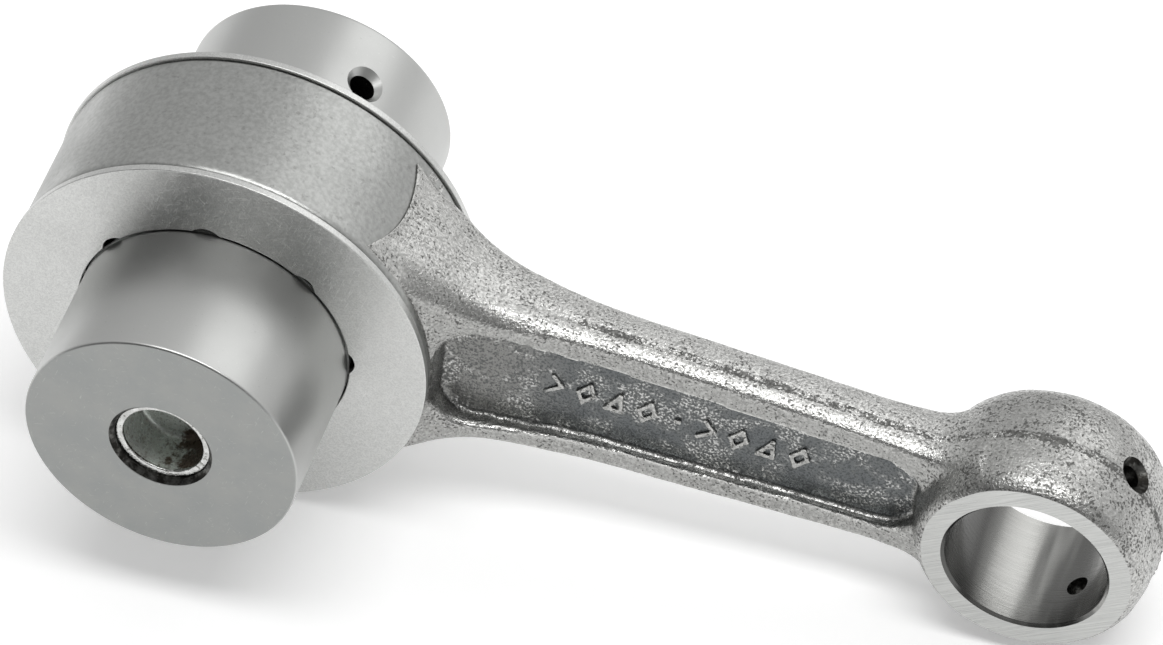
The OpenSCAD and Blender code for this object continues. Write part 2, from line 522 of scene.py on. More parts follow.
def add(tree, kind, *values, **named):
    """A node; lower-case names are its settings and capitals are its inputs."""
    node = tree.nodes.new("ShaderNode" + kind)
    for name, value in named.items():
        if name[0].islower():
            setattr(node, name, value)
    for slot, value in enumerate(values):
        put(tree, value, node.inputs[slot])
    for name, value in named.items():
        if name[0].isupper():
            put(tree, value, node.inputs[name.replace("_", " ")])
    return node


def calc(tree, operation, *values):
    """One sum on values or sockets."""
    return add(tree, "Math", *values, operation=operation).outputs[0]


def ease(tree, value, low, high, start=0.0, end=1.0):
    """A smooth step of a value between two levels."""
    node = add(
        tree, "MapRange", Value=value, From_Min=low, From_Max=high, To_Min=start, To_Max=end,
        interpolation_type="SMOOTHSTEP",
    )
    return node.outputs[0]


def blend(tree, share, first, second):
    """A mix of two colours."""
    node = add(tree, "Mix", data_type="RGBA")
    put(tree, share, node.inputs[0])
    put(tree, first, node.inputs[6])
    put(tree, second, node.inputs[7])
    return node.outputs[2]


def new_group(name, entries, exits):
    """A node group with named sockets; entries give their default values."""
    group = bpy.data.node_groups.new(name, "ShaderNodeTree")
    for label, value in entries:
        kind = "NodeSocketVector" if value is None else "NodeSocketFloat"
        socket = group.interface.new_socket(label, in_out="INPUT", socket_type=kind)
        if value is not None:
            socket.default_value = value
    for label in exits:
        group.interface.new_socket(label, in_out="OUTPUT", socket_type="NodeSocketFloat")
    return group, group.nodes.new("NodeGroupInput"), group.nodes.new("NodeGroupOutput")


def use(tree, group, **named):
    """Places a group in a material."""
    node = tree.nodes.new("ShaderNodeGroup")
    node.node_tree = group
    for name, value in named.items():
        put(tree, value, node.inputs[name.replace("_", " ")])
    return node


# Blasted grain: ragged dimples that crowd in drifts, over a finer tooth
grain, enter, leave = new_group(
    "blasted grain", [("Position", None), ("Size", 0.5), ("Share", 0.5)], ["Height", "Pits"],
)
pace = calc(grain, "DIVIDE", 1.0, enter.outputs["Size"])
drift = add(
    grain, "TexNoise", Vector=enter.outputs["Position"], Scale=0.3, Detail=2.0, Roughness=0.6,
)
dimples = add(
    grain, "TexNoise", Vector=enter.outputs["Position"], Scale=pace, Detail=2.0, Roughness=0.55,
)
crowd = calc(
    grain, "MULTIPLY", enter.outputs["Share"], ease(grain, drift.outputs[0], 0.3, 0.7, 0.6, 1.3),
)
lowest = calc(grain, "SUBTRACT", 0.72, calc(grain, "MULTIPLY", crowd, 0.25))
depth = calc(grain, "SUBTRACT", dimples.outputs[0], lowest)
pits = ease(grain, depth, 0.0, 0.06)
tooth = add(
    grain, "TexNoise", Vector=enter.outputs["Position"], Scale=calc(grain, "MULTIPLY", pace, 1.7),
    Detail=2.0, Roughness=0.5,
)
height = calc(grain, "SUBTRACT", tooth.outputs[0], calc(grain, "MULTIPLY", pits, 0.6))
grain.links.new(height, leave.inputs["Height"])
grain.links.new(pits, leave.inputs["Pits"])

# Edge wear: tumbling rubs the crests bright and leaves the hollows dull
wear, enter, leave = new_group("edge wear", [("Reach", 0.06)], ["Crest", "Hollow"])
shape = wear.nodes.new("ShaderNodeNewGeometry")
above = calc(wear, "ADD", 0.5, enter.outputs["Reach"])
below = calc(wear, "SUBTRACT", 0.5, enter.outputs["Reach"])
wear.links.new(ease(wear, shape.outputs["Pointiness"], 0.505, above), leave.inputs["Crest"])
wear.links.new(ease(wear, shape.outputs["Pointiness"], below, 0.495, 1.0, 0.0), leave.inputs["Hollow"])


def steel(name, colour, roughness):
    """A plain steel finish, ready for its own pattern."""
    finish = bpy.data.materials.new(name)
    finish.use_nodes = True
    shader = finish.node_tree.nodes["Principled BSDF"]
    shader.inputs["Base Color"].default_value = (*colour, 1)
    shader.inputs["Metallic"].default_value = 1.0
    shader.inputs["Roughness"].default_value = roughness
    return finish, finish.node_tree, shader


def relief(tree, shader, height, depth, strength=1.0):
    """Feeds a height in 0 to 1 to the shader's normal, with its depth in millimetres."""
    bump = add(tree, "Bump", Strength=strength, Distance=depth * MM, Height=height)
    tree.links.new(bump.outputs[0], shader.inputs["Normal"])


def forged_skin():
    """Blasted forging: bright worn highs, crests lightened with painted highlight and hollows blackened
    with painted shade, and a scaled floor in the pockets darkened with painted shade as well.
    """
    finish, tree, shader = steel("forged skin", (0.4, 0.4, 0.39), 0.35)
    place = position(tree)
    in_pocket = add(tree, "Attribute", attribute_name="pocket").outputs["Fac"]
    in_heel = add(tree, "Attribute", attribute_name="heel").outputs["Fac"]
    outside = add(tree, "Attribute", attribute_name="outside").outputs["Fac"]
    on_flash = add(tree, "Attribute", attribute_name="flash").outputs["Fac"]
    edge = add(tree, "TexNoise", Vector=place, Scale=1.1, Detail=2.0, Roughness=0.6)
    on_flash = ease(
        tree, calc(tree, "ADD", on_flash, calc(tree, "MULTIPLY", edge.outputs[0], 1.2)), 1.0, 1.2,
    )
    cells = add(tree, "TexNoise", Vector=place, Scale=2.7, Detail=3.0, Roughness=0.55)
    drift = add(tree, "TexNoise", Vector=place, Scale=0.22, Detail=3.0, Roughness=0.6)
    drift = ease(tree, drift.outputs[0], 0.35, 0.65)
    # The relief's hollows and crests: below, their colour is painted shade and painted highlight, while
    # their roughness is the relief's own.
    hollow = ease(tree, cells.outputs[0], 0.4, 0.5, 1.0, 0.0)
    crest = ease(tree, cells.outputs[0], 0.52, 0.62)
    worn = use(tree, wear, Reach=0.06)
    flat = add(tree, "VectorMath", place, (1.0, 0.0, 1.0), operation="MULTIPLY").outputs[0]
    from_eye = add(tree, "VectorMath", flat, operation="LENGTH").outputs["Value"]
    on_eye = ease(tree, from_eye, 15.0, 20.0, 1.0, 0.0)
    share = calc(tree, "ADD", 0.53, calc(tree, "MULTIPLY", on_flash, 0.5))
    share = calc(tree, "ADD", share, calc(tree, "MULTIPLY", on_eye, 0.14))
    specks = use(tree, grain, Position=place, Size=0.36, Share=share)

    # Outward faces lighter: tumbling wear together with a painted highlight from the overhead light.
    tone = blend(tree, outside, (0.36, 0.36, 0.35, 1), (0.6, 0.6, 0.585, 1))
    tone = blend(tree, calc(tree, "MULTIPLY", worn.outputs["Crest"], 0.6), tone, (0.74, 0.74, 0.72, 1))
    # How strongly the relief's crests take painted highlight and its hollows painted shade: more on the
    # outer faces and in drifts.
    relief_light_and_shade = calc(tree, "ADD", 0.1, calc(tree, "MULTIPLY", outside, 0.22))
    relief_light_and_shade = calc(tree, "ADD", relief_light_and_shade, calc(tree, "MULTIPLY", drift, 0.12))
    tone = blend(tree, calc(tree, "MULTIPLY", crest, relief_light_and_shade), tone, (0.86, 0.86, 0.84, 1))
    tone = blend(tree, calc(tree, "MULTIPLY", hollow, relief_light_and_shade), tone, (0.09, 0.09, 0.085, 1))
    dark = calc(tree, "MULTIPLY", specks.outputs["Pits"], 0.8)
    tone = blend(tree, dark, tone, (0.07, 0.07, 0.066, 1))

    # The pocket's colour: dark forging scale together with painted shade under the flanges and a painted
    # dark reflection; painted shade in its hollows and painted highlight on the crests of its pale
    # patches.
    scale = blend(tree, drift, (0.13, 0.138, 0.142, 1), (0.18, 0.185, 0.182, 1))
    scale = blend(tree, in_heel, scale, (0.23, 0.23, 0.222, 1))
    scale = blend(tree, calc(tree, "MULTIPLY", hollow, 0.6), scale, (0.07, 0.075, 0.077, 1))
    patch = ease(tree, drift, 0.35, 0.9, 0.0, 0.85)
    scale = blend(tree, calc(tree, "MULTIPLY", crest, patch), scale, (0.68, 0.68, 0.67, 1))
    tone = blend(tree, in_pocket, tone, scale)
    tree.links.new(tone, shader.inputs["Base Color"])

    rough = calc(tree, "ADD", 0.27, calc(tree, "MULTIPLY", hollow, 0.15))
    rough = calc(tree, "ADD", rough, calc(tree, "MULTIPLY", dark, 0.2))
    tree.links.new(rough, shader.inputs["Roughness"])
    depth = calc(tree, "ADD", 0.3, calc(tree, "MULTIPLY", outside, 0.45))
    depth = calc(tree, "ADD", depth, calc(tree, "MULTIPLY", on_flash, 0.6))
    height = calc(tree, "SUBTRACT", cells.outputs[0], calc(tree, "MULTIPLY", dark, 0.25))
    relief(tree, shader, calc(tree, "MULTIPLY", height, depth), 0.2)
    return finish


def turned_drum():
    """The drum's side: turned, then tumbled to a satin with soft mottling."""
    finish, tree, shader = steel("tumbled drum", (0.40, 0.405, 0.395), 0.33)
    place = position(tree)
    scuffs = use(tree, grain, Position=place, Size=0.9, Share=0.35)
    mottle = add(tree, "TexNoise", Vector=place, Scale=1.6, Detail=4.0, Roughness=0.6)
    cloud = add(tree, "TexNoise", Vector=place, Scale=0.12, Detail=2.0, Roughness=0.5)
    tone = blend(
        tree, ease(tree, mottle.outputs[0], 0.3, 0.7), (0.325, 0.33, 0.32, 1), (0.415, 0.42, 0.41, 1),
    )
    tone = blend(tree, calc(tree, "MULTIPLY", scuffs.outputs["Pits"], 0.35), tone, (0.22, 0.22, 0.21, 1))
    tree.links.new(tone, shader.inputs["Base Color"])
    rough = ease(tree, cloud.outputs[0], 0.35, 0.65, 0.29, 0.38)
    tree.links.new(rough, shader.inputs["Roughness"])
    height = calc(tree, "ADD", mottle.outputs[0], calc(tree, "MULTIPLY", scuffs.outputs["Height"], 0.5))
    relief(tree, shader, height, 0.03)
    return finish


# Grinding lines: long fine strokes along one direction, made by a stretched noise
strokes, enter, leave = new_group(
    "grinding lines", [("Position", None), ("Along", 0.08), ("Across", 9.0)], ["Height"],
)
parts = add(strokes, "SeparateXYZ", enter.outputs["Position"])
stretched = add(
    strokes, "CombineXYZ",
    calc(strokes, "MULTIPLY", parts.outputs[0], enter.outputs["Along"]),
    calc(strokes, "MULTIPLY", parts.outputs[1], enter.outputs["Across"]),
    calc(strokes, "MULTIPLY", parts.outputs[2], enter.outputs["Across"]),
)
lines = add(strokes, "TexNoise", Vector=stretched.outputs[0], Scale=1.0, Detail=3.0, Roughness=0.6)
strokes.links.new(lines.outputs[0], leave.inputs["Height"])


def ground_face():
    """Faces ground flat on a surface grinder, whose strokes all run one way."""
    finish, tree, shader = steel("ground face", (0.56, 0.565, 0.555), 0.3)
    place = position(tree)
    turn = add(tree, "VectorRotate", Vector=place, Angle=math.radians(35), rotation_type="Y_AXIS")
    cut = use(tree, strokes, Position=turn.outputs[0], Along=0.12, Across=6.0)
    tone = blend(
        tree, ease(tree, cut.outputs[0], 0.35, 0.65), (0.44, 0.445, 0.435, 1), (0.57, 0.575, 0.56, 1),
    )
    tree.links.new(tone, shader.inputs["Base Color"])
    tree.links.new(ease(tree, cut.outputs[0], 0.3, 0.7, 0.26, 0.36), shader.inputs["Roughness"])
    relief(tree, shader, cut.outputs[0], 0.012)
    return finish


def honed_bore():
    """Bores honed with broad burnished streaks along them, with a painted dark reflection on the shank's
    side.
    """
    finish, tree, shader = steel("honed bore", (0.4, 0.4, 0.39), 0.24)
    place = position(tree)
    axes = add(tree, "SeparateXYZ", place)
    along_bore = add(
        tree, "CombineXYZ", calc(tree, "MULTIPLY", axes.outputs[0], 0.15),
        calc(tree, "MULTIPLY", axes.outputs[1], 0.02), calc(tree, "MULTIPLY", axes.outputs[2], 0.15),
    )
    streak = add(
        tree, "TexNoise", Vector=along_bore.outputs[0], Scale=1.0, Detail=3.0, Roughness=0.55,
    )
    round_bore = add(
        tree, "CombineXYZ", calc(tree, "MULTIPLY", axes.outputs[0], 0.15),
        calc(tree, "MULTIPLY", axes.outputs[1], 7.0), calc(tree, "MULTIPLY", axes.outputs[2], 0.15),
    )
    rings = add(tree, "TexNoise", Vector=round_bore.outputs[0], Scale=1.0, Detail=3.0, Roughness=0.6)
    tone = blend(
        tree, ease(tree, streak.outputs[0], 0.42, 0.58), (0.17, 0.17, 0.165, 1), (0.42, 0.42, 0.405, 1),
    )
    # Painted dark reflection on the bore's side towards the shank.
    painted_dark_reflection = ease(tree, axes.outputs[0], -8.0, -1.0, 0.92, 0.0)
    tone = blend(tree, painted_dark_reflection, tone, (0.1, 0.1, 0.097, 1))
    tree.links.new(tone, shader.inputs["Base Color"])
    tree.links.new(ease(tree, rings.outputs[0], 0.3, 0.7, 0.2, 0.3), shader.inputs["Roughness"])
    relief(tree, shader, rings.outputs[0], 0.012)
    return finish


def dark_bore():
    """Drilled walls coloured nearly black, with paler patches."""
    finish, tree, shader = steel("dark bore", (0.12, 0.115, 0.105), 0.4)
    place = position(tree)
    blot = add(tree, "TexNoise", Vector=place, Scale=0.55, Detail=4.0, Roughness=0.65)
    ridge = add(tree, "TexNoise", Vector=place, Scale=2.2, Detail=2.0, Roughness=0.5)
    tone = blend(
        tree, ease(tree, blot.outputs[0], 0.42, 0.66), (0.02, 0.019, 0.017, 1), (0.17, 0.17, 0.16, 1),
    )
    tree.links.new(tone, shader.inputs["Base Color"])
    tree.links.new(ease(tree, blot.outputs[0], 0.35, 0.65, 0.5, 0.28), shader.inputs["Roughness"])
    relief(tree, shader, calc(tree, "ADD", blot.outputs[0], ridge.outputs[0]), 0.05)
    return finish


def distance_from(x, z, centre_x):
    """How far a point lies from an axis along Y."""
    return math.hypot(x - centre_x, z)


def in_oil_hole(x, y, z, radial):
    """Whether a point of the eye lies on the wall of an oil hole."""
    for turn, place in EYE_HOLES:
        out = Vector((math.cos(math.radians(turn)), math.sin(math.radians(turn))))
        off_line = math.hypot(Vector((x, z)).cross(out), y - place)
        if off_line < oil_hole_radius + 2 and Vector((x, z)).dot(out) > 0:
            return radial < 0.85
    return False


FORGED, TURNED, GROUND, HONED, DRILLED = range(5)


def surface_of(face):
    """Which finish a face of the rod has, by where it lies and how it faces."""
    x, y, z = face.center
    normal = face.normal
    from_big = distance_from(x, z, big_end_x)
    from_eye = distance_from(x, z, 0.0)
    if abs(normal.y) > 0.99 and x > -20 and abs(abs(y) - eye_half_width) < 0.01:
        return GROUND
    if abs(normal.y) > 0.99 and from_big < drum_radius and abs(y) > drum_half_width - 0.02:
        return GROUND
    if from_big < big_bore_radius + 0.6 or from_eye < eye_bore_radius + 0.5:
        return HONED
    before_neck = x - big_end_x < neck_line(y) + 0.05
    if from_big < drum_radius + 0.02 and (before_neck or abs(y) > forged_half_width + 0.1):
        return TURNED
    if x > 0 and in_oil_hole(x, y, z, (normal.x * x + normal.z * z) / from_eye):
        return DRILLED
    return FORGED


mesh = rod.data
mesh.materials.clear()
bored = dark_bore()
for finish in (forged_skin(), turned_drum(), ground_face(), honed_bore(), bored):
    mesh.materials.append(finish)
for face in mesh.polygons:
    face.material_index = surface_of(face)
    face.use_smooth = True


def in_pocket(x, y, z):
    """1 on the pocket's floor and low on its walls, less towards the heel's bowl: where the dark scale
    colour with its painted shade goes.
    """
    if x > 92.5 or abs(z) > 8.5:
        return 0.0
    floor_depth = web_half + heel_rise * (1 - ramp(x, heel_start, heel_end))
    heel = 1 - ramp(x, 34, 44)
    deep = 1 - ramp(abs(y), floor_depth + 0.12 + 0.5 * heel, floor_depth + 0.24 + 1.6 * heel)
    return deep * ramp(x, 26, 29)


def in_heel(x, y, z):
    """1 in the bowl at the pocket's heel, where the pocket's colour is lighter."""
    return 1 - ramp(x, 34, 48)


def outside(x, y, z, normal):
    """1 where the skin faces away from the rod's middle, which tumbling rubs the most; the lighter
    colour there is partly that wear and partly a painted highlight from the overhead light.
    """
    outer = ramp(abs(normal.z), 0.3, 0.7) * (1 - ramp(x, 93, 99)) * (0.5 + 0.5 * ramp(x, 26, 44))
    return max(outer, 0.3 * ramp(x, 93, 99)) if abs(z) > 7.5 or abs(y) > 4.5 else 0.6 * outer


SHARES = (("pocket", in_pocket), ("heel", in_heel), ("flash", flash_line), ("outside", outside))
for label, share in SHARES:
    layer = mesh.attributes.new(label, "FLOAT", "POINT")
    for vert in mesh.vertices:
        x, y, z = vert.co
        extra = [vert.normal] if label == "outside" else []
        layer.data[vert.index].value = share(x - big_end_x, y, z, *extra)


def finish_piece(piece, name, sharp_angle=30):
    """Turns a blank in millimetres into the finished piece in metres."""
    piece.name = piece.data.name = name
    for group in list(piece.vertex_groups):
        piece.vertex_groups.remove(group)
    bm = bmesh.new()
    bm.from_mesh(piece.data)
    bmesh.ops.scale(bm, vec=(MM, MM, MM), verts=bm.verts)
    borders = [
        edge for edge in bm.edges
        if len(edge.link_faces) == 2
        and (edge.link_faces[0].material_index != edge.link_faces[1].material_index
             or edge.calc_face_angle(0) > math.radians(sharp_angle))
    ]
    for edge in borders:
        edge.smooth = False
    for face in bm.faces:
        face.smooth = True
    bm.to_mesh(piece.data)
    bm.free()
    return piece


finish_piece(rod, "forged_rod", 40)
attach(rod, "rod")
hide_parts("connecting_rod")


# ---------------------------------------------------------------- crank pin
# The pin is bearing steel, turned, hardened and ground outside. It presses into the crank's two
# webs, and a blind oil gallery runs along it, fed by a countersunk hole near its rear end.
pin_low, pin_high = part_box("crank_pin")
pin_front, pin_rear = pin_low.y / MM, pin_high.y / MM
pin_radius = (pin_high.z - pin_low.z) / 2 / MM
gallery_radius = 6.3
gallery_end = pin_rear - 6.6
relief_radius = pin_radius - 0.25
relief_start, relief_end = 10.4, 11.2
feed_turn, feed_place, feed_radius, feed_sink = 64.6, 23.3, 1.8, 0.95


def relief_groove(side):
    """The shallow groove under one washer, from the roller track outwards."""
    groove = [
        (pin_radius, side * relief_start, 0), (relief_radius, side * relief_start, 0),
        (relief_radius, side * relief_end, 0), (pin_radius, side * relief_end, 0),
    ]
    return groove if side > 0 else groove[::-1]


pin = as_object("pin_blank", turned(eased([
    (0, gallery_end, 0), (gallery_radius, gallery_end, 0), (gallery_radius, pin_front + 0.6, 0),
    (gallery_radius + 0.6, pin_front, 0.12), (pin_radius, pin_front, 0.45),
    *relief_groove(-1), *relief_groove(1),
    (pin_radius, pin_rear, 0.5), (0, pin_rear, 0),
]), 224, big_end_x))
for place, mouth in ((feed_place, 2.0), (0.0, 0.3)):
    hole = drill(feed_radius, feed_radius + mouth, pin_radius - (feed_sink if place else 0.05), 14)
    bmesh.ops.rotate(
        hole, verts=hole.verts, cent=(0, 0, 0),
        matrix=Quaternion((0, 1, 0), math.radians(90 - feed_turn)).to_matrix(),
    )
    bmesh.ops.translate(hole, verts=hole.verts, vec=(big_end_x, place, 0))
    machine(pin, as_object("feed_hole", hole))


# Light scratches: short straight strokes that lie every way and come in drifts
scratches, enter, leave = new_group(
    "light scratches", [("Position", None), ("Length", 1.5), ("Share", 0.5)], ["Height"],
)
near = calc(scratches, "DIVIDE", 1.0, enter.outputs["Length"])
deepest = None
for turn in (20, 75, 140):
    turned_place = add(
        scratches, "VectorRotate", Vector=enter.outputs["Position"], Angle=math.radians(turn),
        rotation_type="Y_AXIS",
    )
    parts = add(scratches, "SeparateXYZ", turned_place.outputs[0])
    stretched = add(
        scratches, "CombineXYZ",
        calc(scratches, "MULTIPLY", parts.outputs[0], near),
        calc(scratches, "MULTIPLY", parts.outputs[1], 3.0),
        calc(scratches, "MULTIPLY", parts.outputs[2], 9.0),
    )
    stroke = add(
        scratches, "TexNoise", Vector=stretched.outputs[0], Scale=1.0, Detail=1.0, Roughness=0.4,
    )
    lowest = calc(scratches, "SUBTRACT", 0.78, calc(scratches, "MULTIPLY", enter.outputs["Share"], 0.12))
    cut = ease(scratches, calc(scratches, "SUBTRACT", stroke.outputs[0], lowest), 0.0, 0.03)
    deepest = cut if deepest is None else calc(scratches, "MAXIMUM", deepest, cut)
scratches.links.new(deepest, leave.inputs["Height"])


def ground_pin():
    """Centreless ground steel with a grey satin bloom, a few scratches and faint clouds."""
    finish, tree, shader = steel("ground pin", (0.36, 0.365, 0.36), 0.42)
    place = position(tree)
    cloud = add(tree, "TexNoise", Vector=place, Scale=0.16, Detail=4.0, Roughness=0.6)
    speck = use(tree, grain, Position=place, Size=0.35, Share=0.1)
    nicks = use(tree, scratches, Position=place, Length=1.4, Share=0.3)
    tone = blend(
        tree, ease(tree, cloud.outputs[0], 0.3, 0.7), (0.29, 0.3, 0.295, 1), (0.325, 0.33, 0.32, 1),
    )
    facing = add(tree, "SeparateXYZ", add(tree, "TexCoord").outputs["Normal"])
    on_end = ease(tree, calc(tree, "ABSOLUTE", facing.outputs[1]), 0.6, 0.95)
    tone = blend(tree, on_end, (0.495, 0.5, 0.49, 1), tone)
    tone = blend(tree, calc(tree, "MULTIPLY", speck.outputs["Pits"], 0.3), tone, (0.24, 0.24, 0.235, 1))
    tone = blend(tree, calc(tree, "MULTIPLY", nicks.outputs[0], 0.35), tone, (0.62, 0.62, 0.61, 1))
    tree.links.new(tone, shader.inputs["Base Color"])
    tree.links.new(ease(tree, cloud.outputs[0], 0.3, 0.7, 0.34, 0.39), shader.inputs["Roughness"])
    rings = add(tree, "SeparateXYZ", place)
    lay = add(
        tree, "TexNoise", W=calc(tree, "MULTIPLY", rings.outputs[1], 6.0), noise_dimensions="1D",
        Scale=1.0, Detail=3.0, Roughness=0.6,
    )
    height = calc(tree, "ADD", calc(tree, "MULTIPLY", lay.outputs[0], 0.25), speck.outputs["Height"])
    relief(tree, shader, height, 0.008)
    return finish


mesh = pin.data
mesh.materials.clear()
for finish in (ground_pin(), bored):
    mesh.materials.append(finish)
for face in mesh.polygons:
    x, y, z = face.center
    off_axis = distance_from(x, z, big_end_x)
    in_hole = off_axis < pin_radius - feed_sink and pin_front + 0.05 < y < pin_rear - 0.6
    in_relief = relief_start - 0.1 < abs(y) < relief_end + 0.1 and off_axis > relief_radius - 0.1
    face.material_index = 1 if in_hole and not in_relief else 0
finish_piece(pin, "ground_crank_pin", 32)
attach(pin, "crank_pin")
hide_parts("crank_pin")


# ---------------------------------------------------------------- oil plug
# A pressed steel cup, plated bright, driven into the gallery's mouth with its open side out.
# Its rim has picked up nicks, and old oil has stained the inside of the cup.
plug_low, plug_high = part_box("oil_plug")
plug_front, plug_back = plug_low.y / MM, plug_high.y / MM
plug_radius, plug_bore = gallery_radius - 0.02, gallery_radius - 1.0
plug = as_object("plug_blank", turned(eased([
    (0, plug_back, 0), (plug_radius, plug_back, 0.5), (plug_radius, plug_front, 0.22),
    (plug_bore, plug_front, 0.3), (plug_bore, plug_back - 1, 0.9), (0, plug_back - 1, 0),
]), 128, big_end_x))


def bright_plate():
    """Zinc plate over drawn steel, nicked where the drift struck the rim."""
    finish, tree, shader = steel("bright plate", (0.66, 0.67, 0.655), 0.2)
    place = position(tree)
    dents = use(tree, grain, Position=place, Size=0.8, Share=0.5)
    haze = add(tree, "TexNoise", Vector=place, Scale=1.3, Detail=4.0, Roughness=0.6)
    tone = blend(
        tree, ease(tree, haze.outputs[0], 0.4, 0.65), (0.5, 0.505, 0.49, 1), (0.72, 0.725, 0.71, 1),
    )
    tone = blend(tree, calc(tree, "MULTIPLY", dents.outputs["Pits"], 0.7), tone, (0.2, 0.2, 0.18, 1))
    tree.links.new(tone, shader.inputs["Base Color"])
    tree.links.new(ease(tree, haze.outputs[0], 0.35, 0.65, 0.16, 0.3), shader.inputs["Roughness"])
    relief(tree, shader, calc(tree, "ADD", haze.outputs[0], dents.outputs["Height"]), 0.05)
    return finish


def oiled_cup():
    """The inside of the cup: dull plate under brown-black blots of old oil."""
    finish, tree, shader = steel("oiled cup", (0.2, 0.21, 0.195), 0.35)
    shader.inputs["Metallic"].default_value = 0.5
    place = position(tree)
    blot = add(tree, "TexNoise", Vector=place, Scale=0.42, Detail=5.0, Roughness=0.65)
    smear = add(tree, "TexNoise", Vector=place, Scale=1.6, Detail=3.0, Roughness=0.6)
    axes = add(tree, "SeparateXYZ", place)
    dregs = ease(tree, axes.outputs[0], big_end_x - 2.0, big_end_x + 4.0, 0.0, 0.25)
    clean = calc(tree, "SUBTRACT", blot.outputs[0], dregs)
    tone = blend(
        tree, ease(tree, clean, 0.3, 0.42), (0.1, 0.075, 0.055, 1), (0.62, 0.66, 0.62, 1),
    )
    tone = blend(tree, ease(tree, smear.outputs[0], 0.52, 0.7, 0.0, 0.6), tone, (0.16, 0.13, 0.1, 1))
    tree.links.new(tone, shader.inputs["Base Color"])
    tree.links.new(ease(tree, smear.outputs[0], 0.3, 0.7, 0.22, 0.42), shader.inputs["Roughness"])
    relief(tree, shader, calc(tree, "ADD", blot.outputs[0], smear.outputs[0]), 0.06)
    return finish


mesh = plug.data
mesh.materials.clear()
for finish in (bright_plate(), oiled_cup()):
    mesh.materials.append(finish)
for face in mesh.polygons:
    x, y, z = face.center
    inside = distance_from(x, z, big_end_x) < plug_bore + 0.02 and y > plug_front + 0.9
    face.material_index = 1 if inside and y < plug_back - 0.9 else 0
finish_piece(plug, "plated_oil_plug", 40)
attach(plug, "crank_pin")
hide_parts("oil_plug")


# ---------------------------------------------------------------- thrust washers
# Two hardened washers, blanked from sheet with eight oil notches in the bore, then ground and
# tumbled to a bright even satin. They float between the rod's end faces and the crank's webs.
washer_bore = 18.2
notch_count, notch_turn, notch_radius, notch_centre = 8, 7.3, 2.4, 16.55


def washer_blank(low_y, high_y):
    """One washer: a turned ring with eased corners and round notches in its bore."""
    edge = 0.14
    radius = washer_radius / MM
    blank = as_object("washer_blank", turned(eased([
        (washer_bore, low_y, edge), (radius, low_y, edge),
        (radius, high_y, edge), (washer_bore, high_y, edge),
    ], closed=True, steps=3, guard=0.05), 256, big_end_x, closed=True))
    punches = bmesh.new()
    for number in range(notch_count):
        turn = math.radians(notch_turn + number * 360 / notch_count)
        punch = bmesh.ops.create_cone(
            punches, cap_ends=True, segments=48, radius1=notch_radius, radius2=notch_radius,
            depth=6,
        )["verts"]
        bmesh.ops.rotate(
            punches, verts=punch, cent=(0, 0, 0),
            matrix=Quaternion((1, 0, 0), math.radians(90)).to_matrix(),
        )
        bmesh.ops.translate(punches, verts=punch, vec=(
            big_end_x + notch_centre * math.cos(turn), (low_y + high_y) / 2,
            notch_centre * math.sin(turn),
        ))
    machine(blank, as_object("punches", punches))
    return blank


def tumbled_washer():
    """Ground steel tumbled to a fine sparkle, with short bright scratches and dark specks."""
    finish, tree, shader = steel("tumbled washer", (0.55, 0.555, 0.545), 0.36)
    place = position(tree)
    sparkle = add(tree, "TexNoise", Vector=place, Scale=5.0, Detail=2.0, Roughness=0.6)
    cloud = add(tree, "TexNoise", Vector=place, Scale=0.12, Detail=3.0, Roughness=0.6)
    nicks = use(tree, scratches, Position=place, Length=1.6, Share=0.75)
    specks = use(tree, grain, Position=place, Size=0.3, Share=0.12)
    tone = blend(
        tree, ease(tree, sparkle.outputs[0], 0.3, 0.7), (0.53, 0.535, 0.525, 1), (0.66, 0.665, 0.65, 1),
    )
    tone = blend(tree, calc(tree, "MULTIPLY", specks.outputs["Pits"], 0.4), tone, (0.32, 0.32, 0.31, 1))
    tone = blend(tree, calc(tree, "MULTIPLY", nicks.outputs[0], 0.4), tone, (0.8, 0.8, 0.79, 1))
    tree.links.new(tone, shader.inputs["Base Color"])
    tree.links.new(ease(tree, cloud.outputs[0], 0.3, 0.7, 0.33, 0.4), shader.inputs["Roughness"])
    height = calc(tree, "ADD", sparkle.outputs[0], calc(tree, "MULTIPLY", nicks.outputs[0], 0.5))
    relief(tree, shader, height, 0.014)
    return finish


washer_finish = tumbled_washer()
for side in ("front", "rear"):
    node_name = f"{side}_thrust_washer"
    low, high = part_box(node_name)
    washer = washer_blank(low.y / MM, high.y / MM)
    washer.data.materials.clear()
    washer.data.materials.append(washer_finish)
    finish_piece(washer, f"{side}_ground_washer", 40)
    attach(washer, f"{side}_washer")
    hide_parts(node_name)


# ---------------------------------------------------------------- needle bearing
# A machined steel cage with a window for each of eighteen ground rollers. The washers hide most
# of it, so the CAD solids stay as they are and only take their finishes here.
def blackened_cage():
    """Cage steel with a thin black oxide, rubbed paler in drifts."""
    finish, tree, shader = steel("blackened cage", (0.22, 0.22, 0.215), 0.38)
    place = position(tree)
    rub = add(tree, "TexNoise", Vector=place, Scale=0.5, Detail=4.0, Roughness=0.6)
    tooth = use(tree, grain, Position=place, Size=0.4, Share=0.3)
    tone = blend(
        tree, ease(tree, rub.outputs[0], 0.4, 0.65), (0.16, 0.16, 0.155, 1), (0.34, 0.34, 0.33, 1),
    )
    tree.links.new(tone, shader.inputs["Base Color"])
    tree.links.new(ease(tree, rub.outputs[0], 0.3, 0.7, 0.46, 0.3), shader.inputs["Roughness"])
    relief(tree, shader, tooth.outputs["Height"], 0.02)
    return finish


